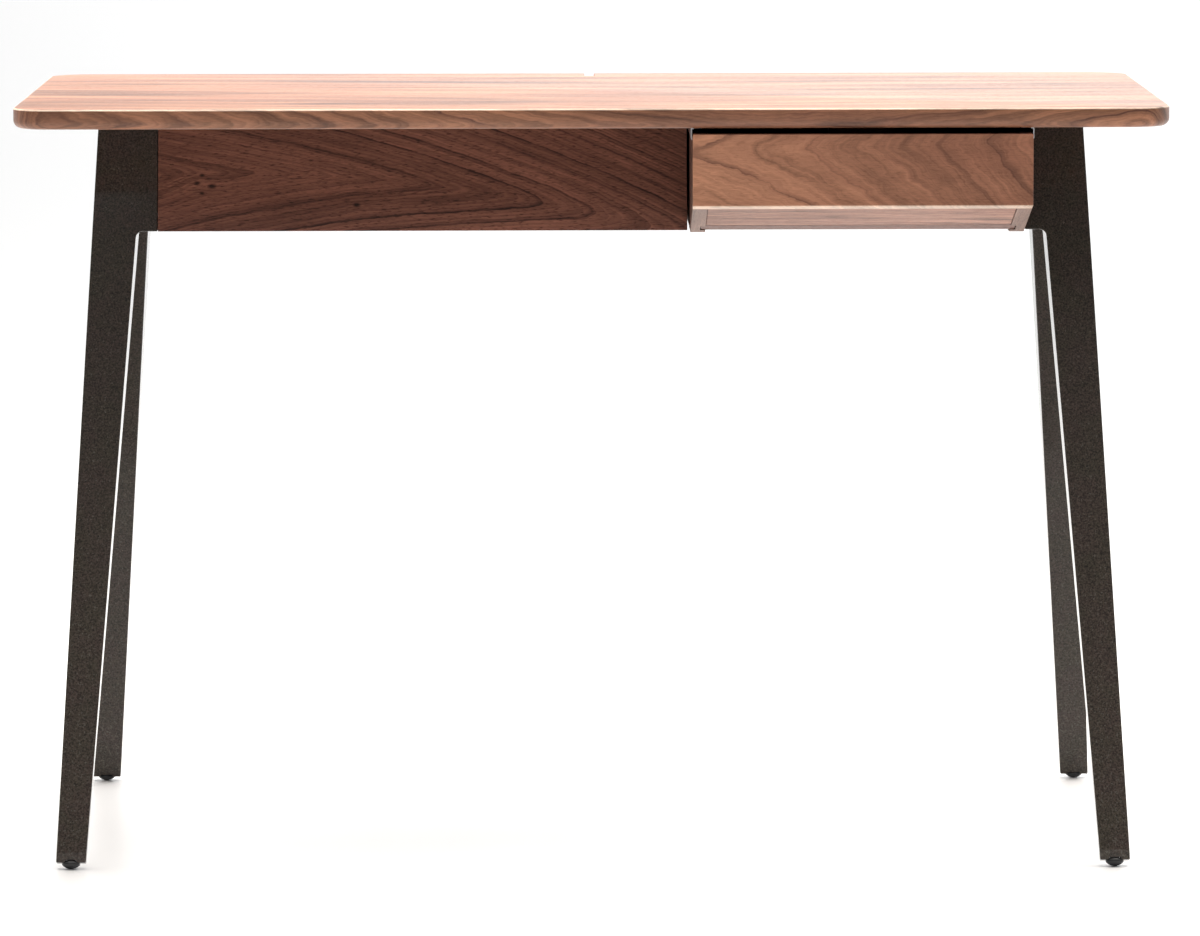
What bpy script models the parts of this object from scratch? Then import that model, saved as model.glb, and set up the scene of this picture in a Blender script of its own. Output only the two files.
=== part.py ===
"""Writing desk: solid walnut top on four leaning cast legs, with one hung drawer.

Metres, +Z up, +Y to the back.  The origin is on the floor, under the middle of the top.
"""
import math

import bmesh
import bpy
from mathutils import Matrix, Vector

# ---------------------------------------------------------------- driving sizes
GAP = 0.0003                 # left between pieces that touch

TOP_WIDTH = 1.150
TOP_DEPTH = 0.600
TOP_HEIGHT = 0.764           # floor to the working surface
TOP_THICKNESS = 0.020
TOP_CORNER = 0.040           # plan radius of the four corners
TOP_ARRIS = 0.0015
TOP_UNDER_ROUND = 0.008

NOTCH_WIDTH = 0.010          # cable notch in the middle of the back edge
NOTCH_DEPTH = 0.050

LEAN = 0.246                 # run per metre of drop of the legs' outward faces
FRAME_HALF_DEPTH = 0.108     # centre to the outward face of a leg, at the underside of the top
LEG_TOP_DEPTH = 0.062        # a leg's size front to back, at the underside of the top
LEG_DEPTH_TAPER = 0.0616     # what that loses per metre of drop
SIDE_OVERHANG = 0.0748       # end of the top to a leg's outer edge, at the underside of the top
SHANK_WIDTH = 0.0474         # at the same height
HEAD_WIDTH = 0.0602          # the head is wider, with an upright inner face
LEG_OUTER_SPLAY = 0.0527     # outward run of the outer edge per metre of drop
LEG_INNER_SPLAY = 0.0762
HEAD_FILLET = 0.007
LEG_BLANK_DROP = 0.020       # a leg is drawn this far under the floor, then trimmed
TOE_TOP = 0.0180             # the upright toe face runs between these two heights
TOE_BOTTOM = 0.0077

PLATE_THICKNESS = 0.005
PLATE_SCREW_BESIDE_BRIDGE = 0.008
PLATE_SCREW_Y = 0.028        # each side of the middle
BRIDGE_HEIGHT = 0.045
BRIDGE_THICKNESS = 0.030

APRON_HEIGHT = 0.114         # from the underside of the top to the aprons' lower edge
APRON_THICKNESS = 0.018

DRAWER_WIDTH = 0.3375
DRAWER_SET_BACK = 0.002      # drawer front behind the top's front edge
DRAWER_TOP_GAP = 0.006       # under the top
DRAWER_FACE_HEIGHT = 0.0713
DRAWER_SLOPE_RUN = 0.138     # the sloped underside, front to back
DRAWER_WALL = 0.015
DRAWER_BACK_THICKNESS = 0.012
DRAWER_BACK_DROP = 0.010     # the back is lower than the sides
DRAWER_BOTTOM_THICKNESS = 0.006
DRAWER_BOTTOM_RISE = 0.0031  # bottom panel above the sides' lower edges
DRAWER_REAR_PLAY = 0.0005
SLOPE_BOARD_RECESS = 0.001
SLOPE_BOARD_THICKNESS = 0.006
SLOPE_BOARD_HEEL = 0.002     # height of its back end, standing on the bottom panel
PANEL_GROOVE = 0.005
DRAWER_TRAVEL = 0.250

RUNNER_SHEET = 0.0012
RUNNER_DROP = 0.012
RUNNER_FLANGE = 0.014
RUNNER_LIP = 0.005
RUNNER_PLAY = 0.0006         # web to drawer side
RUNNER_OUTER_PLAY = 0.0007   # web to divider and to leg head
RUNNER_GROOVE_PLAY = 0.0005
RUNNER_REAR_CLEAR = 0.006
RUNNER_FLANGE_CUT = 0.014    # the flange starts this far behind the web's front end
RUNNER_FLANGE_STUB = 0.002   # what the cut leaves of it beside the web
RUNNER_SCREW_INSET = 0.0084  # web to screw
RUNNER_SCREW_END = 0.026     # runner's end to its outer screws

STOP_WIDTH = 0.060
STOP_DEPTH = 0.014
STOP_DROP = 0.022
STOP_SCREW_SEAT = 0.010      # depth of the counterbore
STOP_COUNTERBORE_PLAY = 0.0005

CLIP_WIDTH = 0.018
CLIP_SHEET = 0.0015
CLIP_DROP = 0.010
CLIP_TONGUE = 0.007
CLIP_PAD = 0.020
CLIP_STANDOFF = 0.004        # apron to the clip's upright
CLIP_SCREW_INSET = 0.008     # pad's end to its screw
CLIP_SLOT_PLAY = 0.001
CLIP_END_SPACE = 0.090       # leg head or divider to the nearest clip

SCREW_RADIUS = 0.0018
SCREW_LENGTH = 0.014         # under the head
SCREW_HEAD_RADIUS = 0.0035
SCREW_HEAD_HEIGHT = 0.0018
SCREW_HEAD_FLAT = 0.00245    # radius of the flat on the head
SCREW_POINT = 0.0036         # length of the point

GLIDE_RADIUS = 0.0088
GLIDE_DOME = 0.004
GLIDE_RIM = 0.0006           # straight part of the pad's edge
GLIDE_HEIGHT = 0.0079        # the whole pad, along its stud
GLIDE_CROWN_RADIUS = 0.0056  # of the flat that meets the leg
GLIDE_SEAT_GAP = 0.0004
SPOT_FACE_PLAY = 0.0004      # round the pad, in the leg's recess
STUD_RADIUS = 0.004
STUD_LENGTH = 0.024
STUD_CHAMFER = 0.001

ROUND_SEGMENTS = 24
STUD_SEGMENTS = 16
SCREW_SEGMENTS = 12
CORNER_STEPS = 10
UNDER_ROUND_STEPS = 4
FILLET_STEPS = 5
DOME_STEPS = 8
CROWN_STEPS = 3
CUTTER_PAST = 0.002          # how far a cutter stands out of the face it enters

# ---------------------------------------------------------------- derived sizes
UNDERSIDE = TOP_HEIGHT - TOP_THICKNESS
APRON_BOTTOM = UNDERSIDE - APRON_HEIGHT
PLATE_TOP = UNDERSIDE - GAP
PLATE_BOTTOM = PLATE_TOP - PLATE_THICKNESS
HEAD_TOP = PLATE_BOTTOM - GAP
APRON_RUN = APRON_THICKNESS * math.hypot(1.0, LEAN)

LEG_OUTER_X = TOP_WIDTH / 2 - SIDE_OVERHANG
LEG_INNER_X = LEG_OUTER_X - SHANK_WIDTH
HEAD_INNER_X = LEG_OUTER_X - HEAD_WIDTH

DRAWER_CLEAR = RUNNER_PLAY + RUNNER_SHEET + RUNNER_OUTER_PLAY
DRAWER_RIGHT = HEAD_INNER_X - DRAWER_CLEAR
DRAWER_LEFT = DRAWER_RIGHT - DRAWER_WIDTH
DIVIDER_RIGHT = DRAWER_LEFT - DRAWER_CLEAR
DRAWER_TOP = UNDERSIDE - DRAWER_TOP_GAP
DRAWER_FACE_BOTTOM = DRAWER_TOP - DRAWER_FACE_HEIGHT
DRAWER_FRONT = -TOP_DEPTH / 2 + DRAWER_SET_BACK
SLOPE = (DRAWER_FACE_BOTTOM - APRON_BOTTOM) / DRAWER_SLOPE_RUN
RUNNER_LIP_BOTTOM = PLATE_TOP - RUNNER_DROP
DOME_RADIUS = (GLIDE_RADIUS ** 2 + GLIDE_DOME ** 2) / (2 * GLIDE_DOME)


def face_y(z):
    """Distance from the middle to the legs' and aprons' outward faces at height z."""
    return FRAME_HALF_DEPTH + LEAN * (UNDERSIDE - z)


def leg_back_y(z):
    """Distance from the middle to a leg's inward face at height z."""
    return face_y(z) - LEG_TOP_DEPTH + LEG_DEPTH_TAPER * (UNDERSIDE - z)


def outer_x(z):
    return LEG_OUTER_X + LEG_OUTER_SPLAY * (UNDERSIDE - z)


def inner_x(z):
    return LEG_INNER_X + LEG_INNER_SPLAY * (UNDERSIDE - z)


def slope_z(y):
    """Height of the drawer's sloped underside at depth y."""
    return DRAWER_FACE_BOTTOM - SLOPE * (y - DRAWER_FRONT)


def slope_y(z):
    """Depth at which the drawer's sloped underside is at height z."""
    return DRAWER_FRONT + (DRAWER_FACE_BOTTOM - z) / SLOPE


DRAWER_REAR = face_y(DRAWER_TOP) - APRON_RUN - DRAWER_REAR_PLAY
FRONT_BACK_Y = DRAWER_FRONT + DRAWER_WALL
PANEL_BOTTOM = APRON_BOTTOM + DRAWER_BOTTOM_RISE
PANEL_TOP = PANEL_BOTTOM + DRAWER_BOTTOM_THICKNESS


# ---------------------------------------------------------------- helpers
def clear_scene():
    for item in list(bpy.data.objects):
        bpy.data.objects.remove(item, do_unlink=True)


def make_material(name, colour, roughness, metallic=0.0):
    material = bpy.data.materials.new(name)
    material.use_nodes = True
    shader = material.node_tree.nodes["Principled BSDF"]
    shader.inputs["Base Color"].default_value = (*colour, 1.0)
    shader.inputs["Roughness"].default_value = roughness
    shader.inputs["Metallic"].default_value = metallic
    return material


def object_from_bmesh(name, bm, material, smooth=False):
    bmesh.ops.recalc_face_normals(bm, faces=bm.faces)
    mesh = bpy.data.meshes.new(name)
    bm.to_mesh(mesh)
    bm.free()
    if smooth:
        mesh.shade_smooth()
        mesh.set_sharp_from_angle(angle=math.radians(35))
    obj = bpy.data.objects.new(name, mesh)
    bpy.context.scene.collection.objects.link(obj)
    if material is not None:
        mesh.materials.append(material)
    return obj


def loft(rings):
    """One closed body through rings of equal length, capped at both ends."""
    bm = bmesh.new()
    loops = [[bm.verts.new(point) for point in ring] for ring in rings]
    for low, high in zip(loops, loops[1:]):
        count = len(low)
        for index in range(count):
            following = (index + 1) % count
            bm.faces.new((low[index], low[following], high[following], high[index]))
    bm.faces.new(loops[0])
    bm.faces.new(loops[-1])
    return bm


def prism_x(name, outline, x0, x1, material):
    """An outline in (y, z) run along X."""
    rings = [[(x, y, z) for y, z in outline] for x in (x0, x1)]
    return object_from_bmesh(name, loft(rings), material)


def prism_y(name, outline, y0, y1, material):
    """An outline in (x, z) run along Y."""
    rings = [[(x, y, z) for x, z in outline] for y in (y0, y1)]
    return object_from_bmesh(name, loft(rings), material)


def box(name, xs, ys, zs, material):
    outline = [(ys[0], zs[0]), (ys[1], zs[0]), (ys[1], zs[1]), (ys[0], zs[1])]
    return prism_x(name, outline, xs[0], xs[1], material)


def turned(name, profile, origin, axis, material, segments=ROUND_SEGMENTS):
    """A (radius, distance) profile turned about an axis through origin."""
    turn = Vector((0, 0, 1)).rotation_difference(Vector(axis)).to_matrix()
    bm = bmesh.new()
    loops = []
    for radius, along in profile:
        if radius == 0.0:
            loops.append([bm.verts.new(Vector(origin) + turn @ Vector((0, 0, along)))])
            continue
        ring = []
        for index in range(segments):
            angle = 2 * math.pi * index / segments
            point = Vector((radius * math.cos(angle), radius * math.sin(angle), along))
            ring.append(bm.verts.new(Vector(origin) + turn @ point))
        loops.append(ring)
    for low, high in zip(loops, loops[1:]):
        for index in range(segments):
            following = (index + 1) % segments
            corners = [low[index % len(low)], low[following % len(low)],
                       high[following % len(high)], high[index % len(high)]]
            bm.faces.new(list(dict.fromkeys(corners)))
    return object_from_bmesh(name, bm, material, smooth=True)


def cut(target, cutter):
    """Takes the cutter's shape out of the target."""
    cutter.hide_render = True
    cutter.display_type = "WIRE"
    modifier = target.modifiers.new("cut_" + cutter.name, "BOOLEAN")
    modifier.operation = "DIFFERENCE"
    modifier.solver = "EXACT"
    modifier.object = cutter


def drill(target, name, radius, start, end, segments=ROUND_SEGMENTS):
    """A round hole in the target, from start to end."""
    run = Vector(end) - Vector(start)
    profile = [(0.0, 0.0), (radius, 0.0), (radius, run.length), (0.0, run.length)]
    cut(target, turned(name, profile, start, run.normalized(), None, segments))


def fillet(before, corner, after, radius, steps):
    """The points of an arc that rounds the corner between two straight runs."""
    corner = Vector(corner)
    run_in = (Vector(before) - corner).normalized()
    run_out = (Vector(after) - corner).normalized()
    half = run_in.angle(run_out) / 2
    tangent = radius / math.tan(half)
    middle = corner + (run_in + run_out).normalized() * (radius / math.sin(half))
    start = corner + run_in * tangent - middle
    end = corner + run_out * tangent - middle
    points = []
    for step in range(steps + 1):
        ray = start.slerp(end, step / steps)
        points.append(tuple(middle + ray.normalized() * radius))
    return points


def screw(name, x, y, seat, material):
    """A wood screw driven up, with its head under the height seat."""
    profile = [(0.0, -SCREW_HEAD_HEIGHT), (SCREW_HEAD_FLAT, -SCREW_HEAD_HEIGHT),
               (SCREW_HEAD_RADIUS, -SCREW_HEAD_HEIGHT / 2), (SCREW_HEAD_RADIUS, 0.0),
               (SCREW_RADIUS, 0.0), (SCREW_RADIUS, SCREW_LENGTH - SCREW_POINT),
               (0.0, SCREW_LENGTH)]
    return turned(name, profile, (x, y, seat - GAP), (0, 0, 1), material, SCREW_SEGMENTS)


def screw_hole(target, name, x, y, seat):
    """Clearance for a screw through the target, or as deep as the screw goes."""
    drill(target, name, SCREW_RADIUS + GAP, (x, y, seat - CUTTER_PAST),
          (x, y, seat + SCREW_LENGTH + GAP), SCREW_SEGMENTS)


# ---------------------------------------------------------------- tabletop
def rounded_plan(inset, z):
    """The top's plan outline, set in by inset, at height z."""
    radius = TOP_CORNER - inset
    centre_x = TOP_WIDTH / 2 - TOP_CORNER
    centre_y = TOP_DEPTH / 2 - TOP_CORNER
    points = []
    for quarter, (sx, sy) in enumerate(((1, 1), (-1, 1), (-1, -1), (1, -1))):
        for step in range(CORNER_STEPS + 1):
            angle = math.pi / 2 * (quarter + step / CORNER_STEPS)
            points.append((sx * centre_x + radius * math.cos(angle),
                           sy * centre_y + radius * math.sin(angle), z))
    return points


def build_top(material):
    rings = []
    for step in range(UNDER_ROUND_STEPS + 1):
        angle = math.pi / 2 * step / UNDER_ROUND_STEPS
        rings.append(rounded_plan(TOP_UNDER_ROUND * (1 - math.sin(angle)),
                                  UNDERSIDE + TOP_UNDER_ROUND * (1 - math.cos(angle))))
    rings.append(rounded_plan(0.0, TOP_HEIGHT - TOP_ARRIS))
    rings.append(rounded_plan(TOP_ARRIS, TOP_HEIGHT))
    top = object_from_bmesh("tabletop", loft(rings), material)
    back = TOP_DEPTH / 2
    cut(top, box("notch_cutter", (-NOTCH_WIDTH / 2, NOTCH_WIDTH / 2),
                 (back - NOTCH_DEPTH, back + CUTTER_PAST),
                 (UNDERSIDE - CUTTER_PAST, TOP_HEIGHT + CUTTER_PAST), None))
    return top


# ---------------------------------------------------------------- legs
def foot_frame(sx, sy):
    """Where a leg's axis leaves its lower end, and which way it points."""
    axis = Vector((0, sy * (LEAN + LEG_DEPTH_TAPER / 2), -1)).normalized()
    toe_y = face_y(TOE_TOP)
    fall = LEAN + LEG_DEPTH_TAPER / 2
    back_fall = LEAN + LEG_DEPTH_TAPER
    back_at_floor = leg_back_y(0.0)
    heel_z = (TOE_BOTTOM - fall * (toe_y - back_at_floor)) / (1 + fall * back_fall)
    middle_y = (toe_y + leg_back_y(heel_z)) / 2
    middle_z = (TOE_BOTTOM + heel_z) / 2
    middle_x = (outer_x(middle_z) + inner_x(middle_z)) / 2
    return Vector((sx * middle_x, sy * middle_y, middle_z)), axis


def glide_heights(foot, axis):
    """Along the axis from the leg's end: the dome's centre, and the pad's upper face."""
    centre = (foot.z - DOME_RADIUS) / -axis.z
    return centre, centre + DOME_RADIUS - GLIDE_HEIGHT


def build_leg(name, sx, sy, material):
    low = -LEG_BLANK_DROP
    corner = (inner_x(APRON_BOTTOM), APRON_BOTTOM)
    arc = fillet((inner_x(low), low), corner, (HEAD_INNER_X, APRON_BOTTOM), HEAD_FILLET,
                 FILLET_STEPS)
    outline = [(outer_x(HEAD_TOP), HEAD_TOP), (outer_x(low), low), (inner_x(low), low),
               *arc, (HEAD_INNER_X, APRON_BOTTOM), (HEAD_INNER_X, HEAD_TOP)]
    rings = [[(sx * x, sy * depth(z), z) for x, z in outline] for depth in (face_y, leg_back_y)]
    bm = loft(rings)
    foot, axis = foot_frame(sx, sy)
    toe = Vector((0, sy * face_y(TOE_TOP), TOE_TOP))
    for point, outward in ((toe, Vector((0, sy, 0))), (foot, axis)):
        everything = bm.verts[:] + bm.edges[:] + bm.faces[:]
        sliced = bmesh.ops.bisect_plane(bm, geom=everything, dist=1e-7, plane_co=point,
                                        plane_no=outward, clear_outer=True)
        rim = [item for item in sliced["geom_cut"] if isinstance(item, bmesh.types.BMEdge)]
        bmesh.ops.holes_fill(bm, edges=rim, sides=0)
    leg = object_from_bmesh(name, bm, material)
    start = foot + axis * CUTTER_PAST
    seat = glide_heights(foot, axis)[1] - GLIDE_SEAT_GAP
    drill(leg, name + "_spot_face_cutter", GLIDE_RADIUS + SPOT_FACE_PLAY, start,
          foot + axis * seat)
    drill(leg, name + "_stud_hole_cutter", STUD_RADIUS + GAP, start,
          foot - axis * (STUD_LENGTH + GAP))
    return leg


def build_glide(corner_name, sx, sy, pad_material, stud_material):
    """A domed pad on a stud, in line with its leg; the dome stands on the floor."""
    foot, axis = foot_frame(sx, sy)
    centre, crown = glide_heights(foot, axis)
    reach = math.asin(GLIDE_RADIUS / DOME_RADIUS)
    rim_low = centre + DOME_RADIUS * math.cos(reach)
    rim_high = rim_low - GLIDE_RIM
    profile = [(0.0, crown)]
    for step in range(CROWN_STEPS + 1):
        angle = math.pi / 2 * step / CROWN_STEPS
        spread = math.sin(angle)
        rise = 1 - math.cos(angle)
        profile.append((GLIDE_CROWN_RADIUS + (GLIDE_RADIUS - GLIDE_CROWN_RADIUS) * spread,
                        crown + (rim_high - crown) * rise))
    for step in range(DOME_STEPS + 1):
        angle = reach * (1 - step / DOME_STEPS)
        radius = DOME_RADIUS * math.sin(angle) if step < DOME_STEPS else 0.0
        profile.append((radius, centre + DOME_RADIUS * math.cos(angle)))
    name = corner_name + "_glide_pad"
    pad = turned(name, profile, foot, axis, pad_material)
    lowest = min(vertex.co.z for vertex in pad.data.vertices)
    pad.data.transform(Matrix.Translation(axis * (lowest / -axis.z)))
    pad_top = crown - GAP
    stud_profile = [(0.0, pad_top), (STUD_RADIUS, pad_top),
                    (STUD_RADIUS, -STUD_LENGTH + STUD_CHAMFER),
                    (STUD_RADIUS - STUD_CHAMFER, -STUD_LENGTH), (0.0, -STUD_LENGTH)]
    turned(corner_name + "_glide_stud", stud_profile, foot, axis, stud_material, STUD_SEGMENTS)


# ---------------------------------------------------------------- steel under the top
def build_leg_joiners(side, sx, top, iron, zinc):
    """The plate and the bridge bar that hold one side's two legs together."""
    xs = sorted((sx * HEAD_INNER_X, sx * outer_x(UNDERSIDE)))
    reach = FRAME_HALF_DEPTH
    plate = box(side + "_top_plate", xs, (-reach, reach), (PLATE_BOTTOM, PLATE_TOP), iron)
    middle = (HEAD_INNER_X + outer_x(UNDERSIDE)) / 2
    bar_bottom = HEAD_TOP - BRIDGE_HEIGHT
    outline = [(sy * (leg_back_y(z) - GAP), z)
               for sy, z in ((-1, bar_bottom), (1, bar_bottom), (1, HEAD_TOP), (-1, HEAD_TOP))]
    bar_xs = sorted(sx * (middle + half) for half in (-BRIDGE_THICKNESS / 2, BRIDGE_THICKNESS / 2))
    prism_x(side + "_leg_bridge", outline, bar_xs[0], bar_xs[1], iron)
    clear_of_bar = BRIDGE_THICKNESS / 2 + PLATE_SCREW_BESIDE_BRIDGE
    number = 0
    for across in (-clear_of_bar, clear_of_bar):
        for along in (-PLATE_SCREW_Y, PLATE_SCREW_Y):
            number += 1
            x = sx * (middle + across)
            name = "%s_plate_screw_%d" % (side, number)
            screw(name, x, along, PLATE_BOTTOM, zinc)
            screw_hole(plate, name + "_hole", x, along, PLATE_BOTTOM)
            screw_hole(top, name + "_pilot", x, along, PLATE_BOTTOM)


# ---------------------------------------------------------------- wooden frame
def apron_outline(sy, low, high):
    """An apron's section, leaning with the legs."""
    return [(sy * face_y(low), low), (sy * face_y(high), high),
            (sy * (face_y(high) - APRON_RUN), high), (sy * (face_y(low) - APRON_RUN), low)]


def build_frame(material):
    high = UNDERSIDE - GAP
    end = HEAD_INNER_X - GAP
    front = prism_x("front_apron", apron_outline(-1, APRON_BOTTOM, high), -end, DIVIDER_RIGHT,
                    material)
    back = prism_x("back_apron", apron_outline(1, APRON_BOTTOM, high), -end, end, material)
    inner = [(sy * (face_y(z) - APRON_RUN - GAP), z)
             for sy, z in ((-1, APRON_BOTTOM), (1, APRON_BOTTOM), (1, high), (-1, high))]
    prism_x("drawer_divider", inner, DIVIDER_RIGHT - APRON_THICKNESS, DIVIDER_RIGHT, material)
    return front, back


def build_clips(front, back, top, zinc):
    """Stepped clips that let the solid top move: a tongue in each apron, a pad on the top."""
    slot_low = PLATE_TOP - CLIP_DROP
    wall = face_y(slot_low) - APRON_RUN
    upright = wall - CLIP_STANDOFF
    pad_end = upright - CLIP_PAD
    seat = PLATE_TOP - CLIP_SHEET
    outline = [(wall + CLIP_TONGUE, slot_low), (wall + CLIP_TONGUE, slot_low + CLIP_SHEET),
               (upright, slot_low + CLIP_SHEET), (upright, PLATE_TOP), (pad_end, PLATE_TOP),
               (pad_end, seat), (upright - CLIP_SHEET, seat), (upright - CLIP_SHEET, slot_low)]
    half = CLIP_WIDTH / 2
    first = -HEAD_INNER_X + CLIP_END_SPACE
    last = DIVIDER_RIGHT - APRON_THICKNESS - CLIP_END_SPACE
    places = [(sy, apron, x) for sy, apron in ((-1, front), (1, back))
              for x in (first, (first + last) / 2, last)]
    for number, (sy, apron, x) in enumerate(places, start=1):
        name = "top_clip_%d" % number
        clip = prism_x(name, [(sy * y, z) for y, z in outline], x - half, x + half, zinc)
        slot_ys = sorted((sy * (wall - CUTTER_PAST), sy * (wall + CLIP_TONGUE + CLIP_SLOT_PLAY)))
        cut(apron, box(name + "_slot_cutter", (x - half - CLIP_SLOT_PLAY, x + half + CLIP_SLOT_PLAY),
                       slot_ys, (slot_low - GAP, slot_low + CLIP_SHEET + GAP), None))
        screw_y = sy * (pad_end + CLIP_SCREW_INSET)
        screw("top_clip_screw_%d" % number, x, screw_y, seat, zinc)
        screw_hole(clip, name + "_hole", x, screw_y, seat)
        screw_hole(top, name + "_pilot", x, screw_y, seat)


# ---------------------------------------------------------------- drawer
def build_drawer(wood, light_wood):
    """The drawer's pieces; its slide runs along Y."""
    prism_x("drawer_front", [(DRAWER_FRONT, DRAWER_TOP), (DRAWER_FRONT, DRAWER_FACE_BOTTOM),
                             (FRONT_BACK_Y, slope_z(FRONT_BACK_Y)), (FRONT_BACK_Y, DRAWER_TOP)],
            DRAWER_LEFT, DRAWER_RIGHT, wood)

    side_front = FRONT_BACK_Y + GAP
    slope_end = DRAWER_FRONT + DRAWER_SLOPE_RUN
    side_outline = [(side_front, DRAWER_TOP), (side_front, slope_z(side_front)),
                    (slope_end, APRON_BOTTOM), (DRAWER_REAR, APRON_BOTTOM),
                    (DRAWER_REAR, DRAWER_TOP)]
    panel_front_low = slope_y(PANEL_BOTTOM - SLOPE_BOARD_RECESS)
    panel_front_high = slope_y(PANEL_TOP - SLOPE_BOARD_RECESS)
    groove_ys = (side_front - CUTTER_PAST, DRAWER_REAR + CUTTER_PAST)
    groove_zs = (RUNNER_LIP_BOTTOM - RUNNER_GROOVE_PLAY,
                 RUNNER_LIP_BOTTOM + RUNNER_SHEET + RUNNER_GROOVE_PLAY)
    for name, x0, sx in (("drawer_left_side", DRAWER_LEFT, 1),
                         ("drawer_right_side", DRAWER_RIGHT, -1)):
        inner = x0 + sx * DRAWER_WALL
        side = prism_x(name, side_outline, *sorted((x0, inner)), light_wood)
        groove_xs = sorted((x0 - sx * CUTTER_PAST, x0 + sx * (RUNNER_LIP - RUNNER_PLAY)))
        cut(side, box(name + "_runner_groove", groove_xs, groove_ys, groove_zs, None))
        panel_xs = sorted((inner + sx * CUTTER_PAST, inner - sx * (PANEL_GROOVE + GAP)))
        cut(side, box(name + "_panel_groove", panel_xs,
                      (panel_front_high - GAP, DRAWER_REAR + CUTTER_PAST),
                      (PANEL_BOTTOM - GAP, PANEL_TOP + GAP), None))

    inside = (DRAWER_LEFT + DRAWER_WALL + GAP, DRAWER_RIGHT - DRAWER_WALL - GAP)
    panel_outline = [(panel_front_high, PANEL_TOP), (panel_front_low, PANEL_BOTTOM),
                     (DRAWER_REAR, PANEL_BOTTOM), (DRAWER_REAR, PANEL_TOP)]
    prism_x("drawer_bottom", panel_outline, inside[0] - PANEL_GROOVE, inside[1] + PANEL_GROOVE,
            wood)

    rest = PANEL_TOP + GAP
    rise = SLOPE_BOARD_RECESS + SLOPE_BOARD_THICKNESS * math.hypot(1.0, SLOPE)
    board_end = slope_y(rest + SLOPE_BOARD_HEEL - rise)
    board_outline = [(side_front, slope_z(side_front) + SLOPE_BOARD_RECESS),
                     (slope_y(rest - SLOPE_BOARD_RECESS), rest), (board_end, rest),
                     (board_end, rest + SLOPE_BOARD_HEEL),
                     (side_front, slope_z(side_front) + rise)]
    prism_x("drawer_sloped_board", board_outline, inside[0], inside[1], light_wood)

    box("drawer_back", inside, (DRAWER_REAR - DRAWER_BACK_THICKNESS, DRAWER_REAR),
        (rest, DRAWER_TOP - DRAWER_BACK_DROP), light_wood)


def build_runner(side, sx, drawer_face, top, zinc):
    """A folded channel under the top, whose lower lip runs in the drawer side's groove."""
    web_outer = drawer_face - sx * (RUNNER_PLAY + RUNNER_SHEET)
    web_inner = drawer_face - sx * RUNNER_PLAY
    low = RUNNER_LIP_BOTTOM
    seat = PLATE_TOP - RUNNER_SHEET
    outline = [(web_outer, PLATE_TOP), (web_outer, low), (web_outer + sx * RUNNER_LIP, low),
               (web_outer + sx * RUNNER_LIP, low + RUNNER_SHEET), (web_inner, low + RUNNER_SHEET),
               (web_inner, seat), (web_outer + sx * RUNNER_FLANGE, seat),
               (web_outer + sx * RUNNER_FLANGE, PLATE_TOP)]
    start = FRONT_BACK_Y + GAP
    end = DRAWER_REAR - RUNNER_REAR_CLEAR
    runner = prism_y(side + "_runner", outline, start, end, zinc)
    flange_xs = sorted((web_inner + sx * RUNNER_FLANGE_STUB,
                        web_outer + sx * (RUNNER_FLANGE + CUTTER_PAST)))
    cut(runner, box(side + "_flange_cutter", flange_xs,
                    (start - CUTTER_PAST, start + RUNNER_FLANGE_CUT),
                    (seat - CUTTER_PAST, PLATE_TOP + CUTTER_PAST), None))
    x = web_outer + sx * RUNNER_SCREW_INSET
    places = (start + RUNNER_SCREW_END, (start + end) / 2, end - RUNNER_SCREW_END)
    for number, y in enumerate(places, start=1):
        name = "%s_runner_screw_%d" % (side, number)
        screw(name, x, y, seat, zinc)
        screw_hole(runner, name + "_hole", x, y, seat)
        screw_hole(top, name + "_pilot", x, y, seat)


def build_stop(top, wood, zinc):
    """A block under the top that the drawer's back meets at full travel."""
    middle = (DRAWER_LEFT + DRAWER_RIGHT) / 2
    rear = DRAWER_REAR - DRAWER_BACK_THICKNESS - DRAWER_TRAVEL - GAP
    low = PLATE_TOP - STOP_DROP
    block = box("drawer_stop", (middle - STOP_WIDTH / 2, middle + STOP_WIDTH / 2),
                (rear - STOP_DEPTH, rear), (low, PLATE_TOP), wood)
    seat = low + STOP_SCREW_SEAT
    y = rear - STOP_DEPTH / 2
    screw("drawer_stop_screw", middle, y, seat, zinc)
    drill(block, "drawer_stop_counterbore", SCREW_HEAD_RADIUS + STOP_COUNTERBORE_PLAY,
          (middle, y, low - CUTTER_PAST), (middle, y, seat), SCREW_SEGMENTS)
    screw_hole(block, "drawer_stop_hole", middle, y, seat)
    screw_hole(top, "drawer_stop_pilot", middle, y, seat)


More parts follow.
